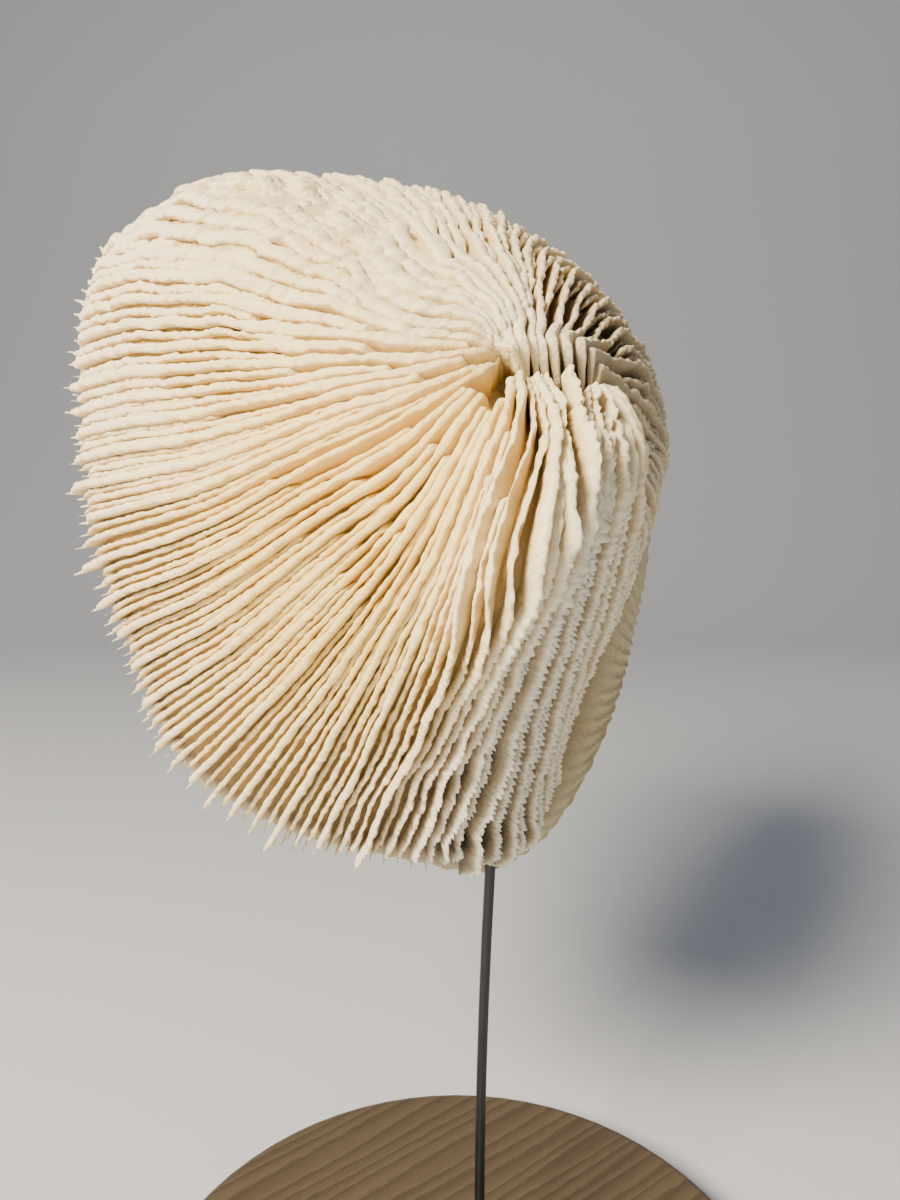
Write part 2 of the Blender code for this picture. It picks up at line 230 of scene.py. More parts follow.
def blend(points, slope, a, b, part):
    """Cubic from point a to point b: places and slopes weighted by the Hermite polynomials."""
    t = part.reshape((-1,) + (1,) * (points.ndim - 1))
    near = points[a] * (2 * t**3 - 3 * t**2 + 1) + slope[a] * (t**3 - 2 * t**2 + t)
    far = points[b] * (3 * t**2 - 2 * t**3) + slope[b] * (t**3 - t**2)
    return near + far


def closed_spline(points, at):
    """Smooth loop through evenly numbered points: slopes solve d0 + 4 d1 + d2 = 3 (p2 - p0)."""
    count = len(points)
    index = np.arange(count)
    matrix = 4.0 * np.eye(count)
    matrix[index, (index + 1) % count] += 1.0
    matrix[index, (index - 1) % count] += 1.0
    rise = 3.0 * (np.roll(points, -1, axis=0) - np.roll(points, 1, axis=0))
    slope = np.linalg.solve(matrix, rise.reshape(count, -1)).reshape(points.shape)
    first = np.floor(at).astype(int)
    return blend(points, slope, first % count, (first + 1) % count, at - first)


def open_spline(points, at, last_slope):
    """Smooth line through evenly numbered points, free at its start, held at its end."""
    count = len(points)
    index = np.arange(count)
    matrix = 4.0 * np.eye(count)
    matrix[0, 0] = 2.0
    matrix[index[:-1], index[1:]] = 1.0
    matrix[index[1:], index[:-1]] = 1.0
    matrix[-1, -2:] = (0.0, 1.0)
    rise = np.concatenate([3.0 * (points[1:2] - points[:1]),
                           3.0 * (points[2:] - points[:-2]), last_slope[None]])
    slope = np.linalg.solve(matrix, rise.reshape(count, -1)).reshape(points.shape)
    first = np.clip(np.floor(at).astype(int), 0, count - 2)
    return blend(points, slope, first, first + 1, at - first)


def coral_floor(theta, ring):
    """Floor of the coral: theta counts ribs round the mouth, ring runs out and under.

    The ribs of the underside meet square to UNDER_AXIS, so the middle is round and not a cone.
    """
    centre = np.broadcast_to(UNDER_CENTRE, (RIBS, 1, 3))
    loops = np.swapaxes(closed_spline(np.concatenate([GUIDE, centre], axis=1), theta), 0, 1)
    axis = unit(UNDER_AXIS)
    inward = loops[-1] - loops[-2]
    inward = UNDER_ROUNDING * (inward - (inward @ axis)[:, None] * axis)
    return np.swapaxes(open_spline(loops, ring, inward), 0, 1)


# The floor is worked out once on a fine grid and read from there.  At the mouth a plate stands
# by 0.8 along the mouth's axis and by the rest square to the floor, and from ring 0.8 x 2.2 on
# it stands square to the floor alone.
FLOOR_COLUMNS = 1440
FLOOR_ROWS = 401
AXIS_SHARE = 0.8
AXIS_FADE = 2.2
floor_theta = np.arange(FLOOR_COLUMNS) * RIBS / FLOOR_COLUMNS
floor_ring = np.linspace(0.0, LAST_RING, FLOOR_ROWS)
floor_point = coral_floor(floor_theta, floor_ring)
floor_along = unit(np.gradient(floor_point, axis=1))
floor_across = np.roll(floor_point, -1, axis=0) - np.roll(floor_point, 1, axis=0)
floor_normal = unit(np.cross(floor_along, floor_across))
upright = np.clip(AXIS_SHARE - floor_ring / AXIS_FADE, 0.0, 1.0)[None, :, None]
plate_normal = unit(floor_normal * (1.0 - upright) + unit(MOUTH_AXIS) * upright)


def read_floor(grid, theta, ring):
    """Value between the four nearest grid points, weighted by how near each is."""
    u = theta * FLOOR_COLUMNS / RIBS
    v = np.clip(ring, 0.0, LAST_RING) * (FLOOR_ROWS - 1) / LAST_RING
    i = np.floor(u).astype(int)
    j = np.minimum(np.floor(v).astype(int), FLOOR_ROWS - 2)
    a = (u - i)[..., None]
    b = (v - j)[..., None]
    here = i % FLOOR_COLUMNS
    beside = (i + 1) % FLOOR_COLUMNS
    low = (1 - a) * grid[here, j] + a * grid[beside, j]
    high = (1 - a) * grid[here, j + 1] + a * grid[beside, j + 1]
    return (1 - b) * low + b * high


# The coral has places for 136 main plates, farthest apart at rib 8.5 and closest opposite.
PLATES = 136
CROWDING = 0.24
SPARSEST_RIB = 8.5


def spread_columns(count):
    """Places round the mouth, spaced along the brim by 1 / (1 - CROWDING cos(angle))."""
    fine = np.linspace(0.0, RIBS, 2401)
    brim = coral_floor(fine, np.array([4.0]))[:, 0]
    angle = 2.0 * math.pi * (fine[1:] - SPARSEST_RIB) / RIBS
    steps = np.linalg.norm(np.diff(brim, axis=0), axis=1) * (1.0 - CROWDING * np.cos(angle))
    run = np.concatenate([[0.0], np.cumsum(steps)])
    return np.interp(np.arange(count) * run[-1] / count, run, fine)


def step_up(value, low, high):
    """Smooth step: 3 t^2 - 2 t^3, with t going from 0 at low to 1 at high."""
    t = np.clip((value - low) / (high - low), 0.0, 1.0)
    return t * t * (3.0 - 2.0 * t)


def round_patch(theta, place):
    """Bell over the ribs, exp(-(d / width)^2), with d the shorter way round to its middle.

    place gives the bell's middle as a rib number and its width in ribs.
    """
    middle, width = place
    away = (theta - middle + RIBS / 2) % RIBS - RIBS / 2
    return np.exp(-(away / width) ** 2)


def golden(theta, ring):
    """How warm the skeleton's colour is: most on the left fan, least low on the right.

    It is 0.34, plus 0.75 on the left fan, less 0.4 on the lower right, plus 0.15 on the swelling,
    kept from 0 to 1.  The gold is partly the skeleton's own tint and partly a painted glow of light
    through the thin plates, most on the left fan.  Where it is low, the pale scale paints darker
    shade between the plates.
    """
    left = round_patch(theta, (2.5, 4.0)) * (1.0 - 0.8 * step_up(ring, 3.1, 4.7))
    lower_right = round_patch(theta, (9.5, 3.2)) * step_up(ring, 0.8, 2.6)
    swelling = round_patch(theta, (10.3, 2.9)) * (1.0 - step_up(ring, 1.9, 3.0))
    return np.clip(0.34 + 0.75 * left - 0.4 * lower_right + 0.15 * swelling, 0.0, 1.0)


def shadow_side(theta):
    """Painted shade, greyer and darker, on the side turned away behind the mouth."""
    return round_patch(theta, (15.0, 1.9))


def lobe(theta, ring):
    """Frosted upper-left lobe, whose plates nearly touch: a bell from ring 0.7 to 2 on."""
    return round_patch(theta, (20.7, 1.9)) * step_up(ring, 0.7, 2.0)


# The skeleton's colour goes by height on a plate: tan at its foot, cream up the flank, and a frosted
# near-white along the crest.  The darkening towards the foot is partly the skeleton's own tan and
# partly painted shade between the plates, and the warm gold low down is partly painted glow of light
# through the thin plates.  Grains of 0.5 mm and lumps of 1.8 mm roughen it, and blotches of about
# 4.5 mm blur the bounds between the colours.  Light sinks about a millimetre into it, which softens
# the shade between the plates.
GRAIN = 0.0005
LUMP = 0.0018
BLOTCHES_PER_METRE = 220.0
BLUR = 0.22
aragonite = bpy.data.materials.new("aragonite")
aragonite.use_nodes = True
tree = aragonite.node_tree
surface = tree.nodes["Principled BSDF"]
surface.inputs["Roughness"].default_value = 0.62
surface.inputs["IOR"].default_value = 1.53
surface.inputs["Specular IOR Level"].default_value = 0.35
surface.inputs["Subsurface Weight"].default_value = 0.5
surface.inputs["Subsurface Radius"].default_value = (1.0, 0.9, 0.6)
surface.inputs["Subsurface Scale"].default_value = 0.0014
place = add_node(tree, "ShaderNodeTexCoord")
height = add_node(tree, "ShaderNodeAttribute", {"attribute_name": "height"})
warmth = add_node(tree, "ShaderNodeAttribute", {"attribute_name": "warmth"})
under = add_node(tree, "ShaderNodeAttribute", {"attribute_name": "under"})
# Painted shade: where this attribute is set, the colour is mixed towards a grey-brown, behind the
# mouth and in its slit.
painted_shade = add_node(tree, "ShaderNodeAttribute", {"attribute_name": "painted_shade"})
dimmed = add_node(tree, "ShaderNodeMath", {"operation": "MULTIPLY", 1: 0.6},
                  {0: painted_shade.outputs["Fac"]})
mottle = add_node(tree, "ShaderNodeTexNoise", {"Scale": BLOTCHES_PER_METRE, "Detail": 3.0},
                  {"Vector": place.outputs["Object"]})
blurred = add_node(tree, "ShaderNodeMath", {"operation": "MULTIPLY_ADD", 1: BLUR, 2: -0.5 * BLUR},
                   {0: mottle.outputs["Fac"]})
level = add_node(tree, "ShaderNodeMath", {"operation": "ADD"},
                 {0: height.outputs["Fac"], 1: blurred.outputs["Value"]})
# Warm scale: its gold low down is partly the skeleton's tint and partly painted glow of light
# through the plates.
warm = add_node(tree, "ShaderNodeValToRGB", links={0: level.outputs["Value"]})
colour_ramp(warm, [(0.0, "#B98C33"), (0.3, "#DDBA62"), (0.62, "#E9CB7A"), (0.8, "#F3D385"),
                   (0.88, "#F5D68A"), (0.97, "#FFE496")])
# Pale scale: its dark low end is painted shade in the gaps between the plates.
pale = add_node(tree, "ShaderNodeValToRGB", links={0: level.outputs["Value"]})
colour_ramp(pale, [(0.0, "#5A503F"), (0.3, "#A1906F"), (0.62, "#DDCEB0"), (0.8, "#F5E9D2"),
                   (0.97, "#FDF1DA")])
top_colour = add_node(tree, "ShaderNodeMix", {"data_type": "RGBA"},
                      {0: warmth.outputs["Fac"], 6: pale.outputs["Color"],
                       7: warm.outputs["Color"]})
# The grey-brown mixed in here is painted shade.
shaded_colour = add_node(tree, "ShaderNodeMix", {"data_type": "RGBA", 7: linear("#8E8069")},
                         {0: dimmed.outputs["Value"], 6: top_colour.outputs[2]})
colour = add_node(tree, "ShaderNodeMix", {"data_type": "RGBA", 7: linear("#C4B48A")},
                  {0: under.outputs["Fac"], 6: shaded_colour.outputs[2]})
tree.links.new(colour.outputs[2], surface.inputs["Base Color"])
grains = add_node(tree, "ShaderNodeTexNoise", {"Scale": 1.0 / GRAIN, "Detail": 2.0},
                  {"Vector": place.outputs["Object"]})
frost = add_node(tree, "ShaderNodeBump", {"Strength": 0.8, "Distance": 0.0003},
                 {"Height": grains.outputs["Fac"]})
lumps = add_node(tree, "ShaderNodeTexNoise", {"Scale": 1.0 / LUMP, "Detail": 4.0},
                 {"Vector": place.outputs["Object"]})
rougher = add_node(tree, "ShaderNodeMapRange", {"To Min": 1.0, "To Max": 0.4},
                   {"Value": warmth.outputs["Fac"]})
crust = add_node(tree, "ShaderNodeBump", {"Distance": 0.0008},
                 {"Strength": rougher.outputs["Result"], "Height": lumps.outputs["Fac"],
                  "Normal": frost.outputs["Normal"]})
tree.links.new(crust.outputs["Normal"], surface.inputs["Normal"])


def store(name, points, faces, attributes):
    """Piece of the coral from millimetre points, with one number per point for each attribute."""
    mesh = bpy.data.meshes.new(name)
    mesh.from_pydata((points * MM).tolist(), [], faces)
    for key, values in attributes.items():
        layer = mesh.attributes.new(key, "FLOAT", "POINT")
        layer.data.foreach_set("value", np.ascontiguousarray(values, dtype=np.float32))
    mesh.polygons.foreach_set("use_smooth", np.ones(len(mesh.polygons), dtype=bool))
    mesh.materials.append(aragonite)
    obj = bpy.data.objects.new(name, mesh)
    bpy.context.scene.collection.objects.link(obj)
    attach(obj, "root")
    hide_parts("coral")


# The floor's mesh has four columns for each main plate.  Under the rim the first of the four
# is a beaded rib and the third a slight groove.  Above the rim the floor is filled up between
# the plates' feet, by 4 mm and more on the lobe and out on the fan, and by less in the mouth,
# behind it, on the swelling and at the lobe's corner.
BODY_COLUMNS = 4 * PLATES
UNDER_RIB_HEIGHT = 0.7
BEAD_HEIGHT = 0.25
FLOOR_FILL = 4.0
LOBE_FILL = 1.0
FAN_FILL = 1.8
SLIT_FILL = 1.0
LOBE_CORNER = (21.5, 1.0)
body_ring = np.concatenate([np.linspace(0.0, 4.9, 50), np.linspace(4.98, 7.95, 40)])
column = np.arange(BODY_COLUMNS)
body_theta = np.interp(column / 4.0, np.arange(PLATES + 1),
                       np.append(spread_columns(PLATES), RIBS))
theta, ring = np.meshgrid(body_theta, body_ring, indexing="ij")
under_side = step_up(ring, 4.9, 5.6)
rib = np.where(column % 4 == 0, 1.0, np.where(column % 4 == 2, -0.3, 0.0))[:, None]
rib = rib * under_side * (1.0 - step_up(ring, 7.3, 7.9)) * UNDER_RIB_HEIGHT
beads = BEAD_HEIGHT * np.sin(ring * 60.0 + 2.4 * column[:, None]) * under_side
skin = read_floor(floor_point, theta, ring)
skin = skin + read_floor(floor_normal, theta, ring) * (rib + beads * (rib > 0.1))[..., None]
between = FLOOR_FILL * (1.0 - 0.7 * round_patch(theta, (15.5, 3.0)))
between = between + LOBE_FILL * round_patch(theta, (20.7, 1.7)) * step_up(ring, 0.7, 2.0)
between = between + FAN_FILL * round_patch(theta, (1.6, 3.6)) * step_up(ring, 2.4, 3.6)
between = between * (0.2 + 0.8 * step_up(ring, 0.3, 1.2)) * (1.0 - step_up(ring, 4.6, 5.1))
between = between * (1.0 - 0.8 * round_patch(theta, (10.6, 3.0)))
between = between * (1.0 - 0.7 * round_patch(theta, LOBE_CORNER) * step_up(ring, 3.3, 4.7))
skin = skin + read_floor(plate_normal, theta, ring) * between[..., None]
rows = len(body_ring)
here = column[:, None] * rows + np.arange(rows - 1)[None, :]
there = ((column + 1) % BODY_COLUMNS)[:, None] * rows + np.arange(rows - 1)[None, :]
faces = np.stack([here, here + 1, there + 1, there], axis=-1).reshape(-1, 4).tolist()
slit_point = np.full(BODY_COLUMNS, BODY_COLUMNS * rows)
this_slit = column * rows
next_slit = ((column + 1) % BODY_COLUMNS) * rows
faces += np.stack([slit_point, this_slit, next_slit], axis=-1).tolist()
faces += np.stack([slit_point + 1, next_slit + rows - 1, this_slit + rows - 1],
                  axis=-1).tolist()
raised_slit = SLIT_FLOOR + SLIT_FILL * unit(MOUTH_AXIS)
points = np.concatenate([skin.reshape(-1, 3), raised_slit[None], UNDER_CENTRE[None]])

# The floor is tan between the plates, partly painted shade there, and paler on the lobe, behind the
# mouth and below.  Painted shade darkens the mouth's slit, most at its closing point, and the side
# behind the mouth.
in_mouth = 1.2 * (1.0 - step_up(ring, 0.15, 0.9))
store("coral_body", points, faces, {
    "height": np.append((0.12 + 0.55 * np.maximum(under_side, lobe(theta, ring))
                         + 0.2 * shadow_side(theta)).ravel(), [0.0, 0.6]),
    "warmth": np.append(golden(theta, ring).ravel(), [0.5, 0.3]),
    "under": np.append(under_side.ravel(), [0.0, 1.0]),
    "painted_shade": np.append(np.maximum(shadow_side(theta), in_mouth).ravel(), [1.0, 0.0]),
})


# Radiating plates: thin walls of the same skeleton that grew up from the floor, running from
# the mouth out over the rim.  Longer ones reach the mouth, shorter ones start where there is
# room.  Their crests are frosted and toothed, and they end in points beyond the rim.

# A plate follows a line of the floor from the mouth to the rim, in 246 points.  It starts
# before point 226 or is left out.  Before the mouth it goes on the way of the first 12 points,
# and past the rim on the way of ring 3.7.
RIM_RING = 4.9
LINE_POINTS = 246
LAST_START = 226
MOUTH_POINTS = 12
RIM_WAY_RING = 3.7
along_ring = np.linspace(0.0, RIM_RING, LINE_POINTS)
chance = np.random.default_rng(11)

# Chance runs cover 400 mm, longer than any plate, from 30 mm before the mouth.
LONGEST = 400.0
LEAD = 30.0


def rough(travel, pitch):
    """Uneven run of about -1 to 1: chance heights at each pitch, joined by smooth steps."""
    knots = chance.uniform(-1.0, 1.0, (len(travel), int(LONGEST / pitch)))
    place = np.clip(travel + LEAD, 0.0, LONGEST - 1.0 - pitch) / pitch
    first = np.floor(place).astype(int)
    before = np.take_along_axis(knots, first, axis=1)
    after = np.take_along_axis(knots, first + 1, axis=1)
    return before + (after - before) * step_up(place - first, 0.0, 1.0)


def teeth(travel, pitch, turn):
    """Saw of straight sides, up over two thirds of each pitch and down over one third."""
    part = (travel / pitch + turn) % 1.0
    return np.minimum(part / 0.67, (1.0 - part) / 0.33)


def bump(theta, ring):
    """Thick crumbly plates on the swelling just below the mouth: a bell that ends by ring 3."""
    return round_patch(theta, (9.9, 3.0)) * (1.0 - step_up(ring, 1.9, 3.0))


def saw(theta, ring):
    """Toothed plates low on the right: a bell that comes up from ring 1.7 to 2.9."""
    return round_patch(theta, (9.6, 3.4)) * step_up(ring, 1.7, 2.9)


def back(theta, ring):
    """Shaded fan behind the mouth: a bell that comes up from the slit to ring 0.7."""
    return round_patch(theta, (15.9, 2.2)) * step_up(ring, 0.0, 0.7)


def upper_lip(theta, ring):
    """Thick ends of the plates above the mouth: a bell that ends from ring 0.5 to 1.6."""
    return round_patch(theta, (18.8, 2.2)) * (1.0 - step_up(ring, 0.5, 1.6))


def low_side(theta):
    """Right side, where the plates stop short of the rim and leave the underside bare."""
    return round_patch(theta, (13.4, 1.9))


def lobe_rim(theta):
    """Rim of the upper-left lobe, where the plates end blunt."""
    return round_patch(theta, (20.8, 2.0))


def middle_plate(theta):
    """The one plate that juts into the mouth's left end, a bell 0.2 of a rib wide."""
    return round_patch(theta, (0.0, 0.2))


def lateness(theta):
    """How much later the short plates join: on the upper left, the right and the swelling."""
    return (1.6 * round_patch(theta, (20.9, 1.6)) + 1.6 * round_patch(theta, (12.7, 1.3))
            + 0.7 * round_patch(theta, (10.2, 2.0)) + 0.5 * round_patch(theta, (15.8, 1.5)))


def main_spacing(theta):
    """Distance in millimetres between the places of two main plates, along each plate's line.

    It is the distance to the line 0.05 of a rib aside, over 0.05, times the ribs between two
    such places.  The line's points and the distance run along it are returned as well.
    """
    aside = 0.05
    lines = read_floor(floor_point, theta[:, None], along_ring[None, :])
    run = np.concatenate([np.zeros((len(theta), 1)), np.cumsum(
        np.linalg.norm(np.diff(lines, axis=1), axis=-1), axis=1)], axis=1)
    beside = read_floor(floor_point, (theta + aside)[:, None], along_ring[None, :])
    gap = np.linalg.norm(beside - lines, axis=-1) / aside
    places = spread_columns(PLATES)
    ribs_between = np.diff(np.append(places, RIBS))
    return lines, run, gap * np.interp(theta, places, ribs_between)[:, None]


def room_for(theta, gap):
    """Distance between the main plates that have started, from the spacing of all of them.

    Only every eighth is there at first.  Each order that joins halves the distance: at a
    spacing of 0.5, 1 and 1.8 mm, or later as lateness has it.
    """
    share = 8.0 - 4.0 * step_up(gap, 0.4, 0.6)
    share = share - 2.0 * step_up(gap / (1.0 + 0.7 * lateness(theta)), 0.85, 1.15)
    return gap * (share - step_up(gap / (1.0 + lateness(theta)), 1.6, 2.0))


def has_room(theta, gap, room, scarce):
    """True along each line where the spacing passes room * (1 + scarce * lateness).

    That varies by an eighth from plate to plate.  On the left no plate comes nearer to the
    mouth than ring 0.55 to 0.9, which leaves the slit's hollow side bare; elsewhere the 0.02
    taken off lets a plate start at the slit itself.
    """
    late = (1.0 + scarce * lateness(theta))[:, None]
    enough = room * late * chance.uniform(0.88, 1.12, (len(theta), 1))
    hollow = np.clip(1.6 * round_patch(theta, (2.7, 1.8)), 0.0, 1.0)[:, None]
    earliest = hollow * chance.uniform(0.55, 0.9, (len(theta), 1)) - 0.02
    return (gap >= enough) & (along_ring >= earliest)


def ends(theta, run, open_from, reach):
    """Start, end and reach past the rim of each plate, in millimetres along its line.

    Plates above the mouth hang 6.5 mm over it and the middle plate 4 mm, those of the swelling
    stop 2.5 mm short.  The reach is least on the lobe's rim, on the low side and at the bottom.
    """
    count = len(theta)
    overhang = 6.5 * np.clip(2.0 * round_patch(theta, (19.4, 3.2)), 0.0, 1.0)
    overhang = overhang * (along_ring[open_from] < 0.6)
    overhang = overhang - 2.5 * round_patch(theta, (9.0, 2.8)) + 4.0 * middle_plate(theta)
    start = run[np.arange(count), open_from] - overhang + chance.uniform(-1.0, 1.3, count)
    reach = reach * chance.uniform(0.5, 1.2, (count, 1)) * (1.0 - 0.85 * low_side(theta))[:, None]
    reach = reach * (1.0 - 0.9 * lobe_rim(theta))[:, None]
    reach = reach * (1.0 - 0.55 * round_patch(theta, (7.6, 2.2)))[:, None]
    return start[:, None], run[:, -1:] + reach, reach


def lay_out(theta, room, scarce, reach, step):
    """Foot lines of one order of plates, as grids of plates by steps along them.

    A plate starts where it first has room, follows the floor to the rim and goes straight on
    to its point.  One that has no room before the rim is left out.  up leads off the floor and
    side is square to it and to the line; free is 1 where the point stands free past the rim
    and 0.1 where the plate ends blunt.
    """
    lines, run, gap = main_spacing(theta)
    roomy = has_room(theta, gap, room, scarce)
    kept = roomy[:, :LAST_START].any(axis=1)
    theta, lines, run, gap, roomy = [each[kept] for each in (theta, lines, run, gap, roomy)]
    start, end, reach = ends(theta, run, np.argmax(roomy, axis=1), reach)
    blunt = lobe_rim(theta) + low_side(theta) + round_patch(theta, (10.2, 1.6))
    free = 1.0 - 0.9 * np.clip(blunt, 0.0, 1.0)[:, None]
    steps = int(np.max(end - start) / step)
    travel = start + (end - start) * np.linspace(0.0, 1.0, steps)[None, :]
    ring = np.stack([np.interp(at, line, along_ring) for at, line in zip(travel, run)])
    gap = np.stack([np.interp(at, line, its) for at, line, its in zip(travel, run, gap)])
    beyond = np.maximum(travel - run[:, -1:], 0.0)
    before = np.maximum(-travel, 0.0)
    theta = np.repeat(theta[:, None], steps, axis=1)
    foot = read_floor(floor_point, theta, ring)
    rim_way = read_floor(floor_along, theta[:, :1], np.full((len(theta), 1), RIM_WAY_RING))
    mouth_way = lines[:, MOUTH_POINTS:MOUTH_POINTS + 1] - lines[:, :1]
    across = unit(MOUTH_AXIS)
    mouth_way = unit(mouth_way - (mouth_way @ across)[..., None] * across)
    foot = foot + rim_way * beyond[..., None] - mouth_way * before[..., None]
    up = unit(read_floor(plate_normal, theta, np.minimum(ring, 4.6)))
    side = unit(np.cross(up, unit(np.gradient(foot, axis=1))))
    return SimpleNamespace(
        theta=theta, ring=ring, travel=travel, start=start, end=end, reach=reach, free=free,
        beyond=beyond, foot=foot, up=up, side=side, room=room_for(theta, gap),
        bulge=bump(theta, ring), sawn=saw(theta, ring), drooping=lobe(theta, ring),
        shaded=back(theta, ring), hanging=upper_lip(theta, ring))


def sway(wall):
    """Move the foot sideways by two sines of travel and theta, and return the crest's waver.

    Neighbours sway together.  Each crest also wavers by chance over 8 and 3 mm, both least on
    the left fan.
    """
    wild = 0.06 + 0.6 * wall.bulge + 0.7 * wall.sawn + 1.2 * wall.drooping + 0.5 * wall.shaded
    drift = (np.sin(wall.travel / 5.6 + 1.3 * wall.theta)
             + 0.45 * np.sin(wall.travel / 2.6 + 2.3 * wall.theta))
    wall.foot = wall.foot + wall.side * (0.85 * wild * drift)[..., None]
    return wild * (0.6 * rough(wall.travel, 8.0)
                   + (0.3 - 0.2 * wall.sawn) * rough(wall.travel, 3.0))


# Lengths in millimetres: a crest's way up at the inner end and down at the outer, and the
# pitch of its teeth.
INNER_END = 2.4
OUTER_END = 10.0
TOOTH_PITCH = 2.0


def raise_crests(wall, rise):
    """Height of each plate: a blunt inner end, a long even run, a taper to the point.

    The inner end goes by a power of the distance from the start and the outer by one of the
    distance to the end.  Teeth bite into the crest low on the right, and crumbs roughen it.
    The crest, the even run before the teeth, their bite and the crumbs are kept in wall, and
    so is past, which goes from 0 at the rim to 1 at the point.
    """
    theta, ring, travel = wall.theta, wall.ring, wall.travel
    turn = chance.uniform(0.0, 1.0, (len(theta), 1))
    wall.waver = sway(wall)
    middle = middle_plate(theta) * (1.0 - step_up(ring, 1.0, 2.6))
    inner = np.clip((travel - wall.start) / INNER_END, 0.0, 1.0) ** (0.4 - 0.25 * middle)
    wall.past = step_up(wall.beyond, 0.0, np.maximum(wall.reach, 1.0))
    outer = np.clip((wall.end - travel) / OUTER_END, 0.0, 1.0) ** 0.4
    outer = np.maximum(outer, 0.66 * wall.past * wall.free)
    tall = rise * chance.uniform(0.93, 1.05, (len(theta), 1)) * (1.0 - 0.15 * middle)
    tall = tall * (1.0 - 0.3 * wall.drooping)
    tall = tall * (1.0 - 0.5 * round_patch(theta, LOBE_CORNER) * step_up(ring, 3.3, 4.7))
    tall = tall * inner * outer * np.clip(wall.room / 1.6, 0.65, 1.0)
    tall = tall * (1.0 - 0.72 * low_side(theta) * step_up(ring, 3.7, 4.8))
    tall = tall * (1.0 - 0.5 * round_patch(theta, (13.7, 0.9)) * (1.0 - step_up(ring, 2.4, 3.4)))
    tall = tall * (1.0 + 0.04 * rough(travel, 14.0))
    tall = tall + outer * (wall.drooping * 1.7 * rough(travel, 9.0)
                           + 0.9 * wall.bulge * rough(travel, 6.0))
    wall.even = tall
    wall.bite = (1.8 * wall.sawn + 0.6 * wall.bulge) * step_up(tall, 1.2, 3.0)
    tall = tall + wall.bite * (teeth(travel + rough(travel, 4.0), TOOTH_PITCH, turn) - 0.6)
    wall.crumble = (0.24 + 0.25 * wall.bulge + 0.5 * wall.drooping + 0.1 * wall.sawn
                    + 0.35 * wall.shaded)
    tall = tall + wall.crumble * (rough(travel, 2.2) + 0.9 * rough(travel, 1.1))
    wall.tall = np.maximum(tall, 0.3)


# In millimetres: the narrowest usual width, and the lengths of the tapers at both ends.
NARROWEST = 0.75
OUTER_TAPER = 8.0
INNER_TAPER = 2.5


def wall_widths(wall, thick):
    """Width of each plate: its usual one or a share of the room it has, whichever is less.

    It narrows to a point at the outer end and a little at the inner one.
    """
    bulge, sawn, drooping, shaded, hanging = (
        wall.bulge, wall.sawn, wall.drooping, wall.shaded, wall.hanging)
    usual = 1.6 + 0.9 * bulge - 0.5 * sawn + 4.6 * drooping - 0.8 * shaded + 0.9 * hanging
    share = 0.52 + 0.02 * bulge - 0.24 * sawn + 0.48 * drooping - 0.28 * shaded + 0.2 * hanging
    same = thick + (1.0 - thick) * np.clip(bulge + drooping + sawn, 0.0, 1.0)
    wide = same * np.minimum(np.maximum(usual, NARROWEST), share * wall.room)
    wide = wide * np.clip((wall.end - wall.travel) / OUTER_TAPER, 0.06, 1.0) ** 0.8
    return wide * np.clip((wall.travel - wall.start) / INNER_TAPER + 0.55, 0.0, 1.0)


# A foot is sunk 1.2 mm, and rises by 0.62 of the plate's height to the point beyond the rim.
FOOT_SINK = 1.2
POINT_LIFT = 0.62


